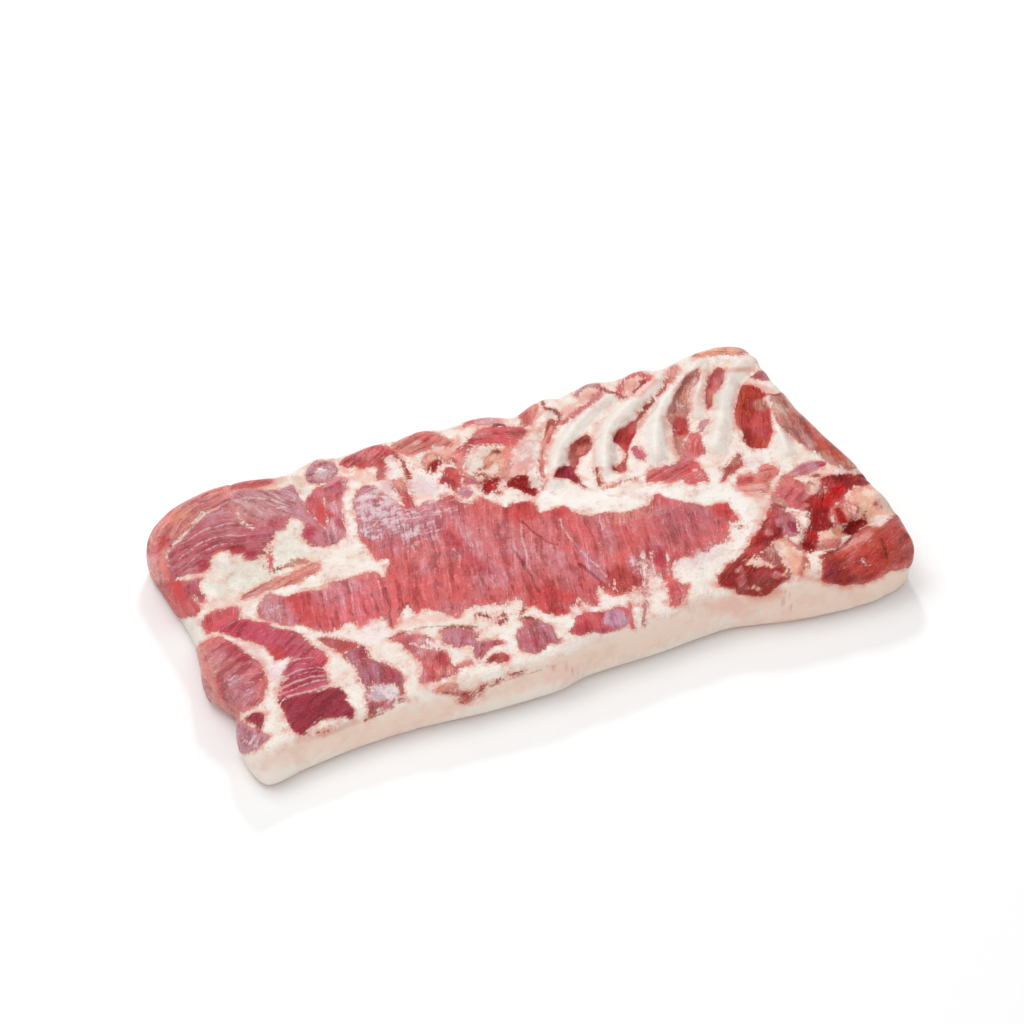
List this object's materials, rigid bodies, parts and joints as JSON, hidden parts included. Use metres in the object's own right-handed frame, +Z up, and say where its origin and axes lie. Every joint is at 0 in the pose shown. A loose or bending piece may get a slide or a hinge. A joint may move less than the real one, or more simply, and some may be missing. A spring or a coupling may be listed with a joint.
{
  "type": "pork belly slab",
  "caption": "Raw boneless pork belly slab, lean side up on its own fat and skin, with bars between the rib beds, muscle bundles and a lumpy shoulder end.",
  "frame": {"origin": "middle of the slab's footprint, on its resting face", "axes": "+X along the slab to the shoulder end, +Y across it to the rib edge, +Z up from the skin to the lean side"},
  "size_m": [0.558, 0.308, 0.055],
  "materials": {
    "flesh": "satin"
  },
  "bodies": {
    "root": {"belly_slab": "flesh"}
  },
  "joints": []
}
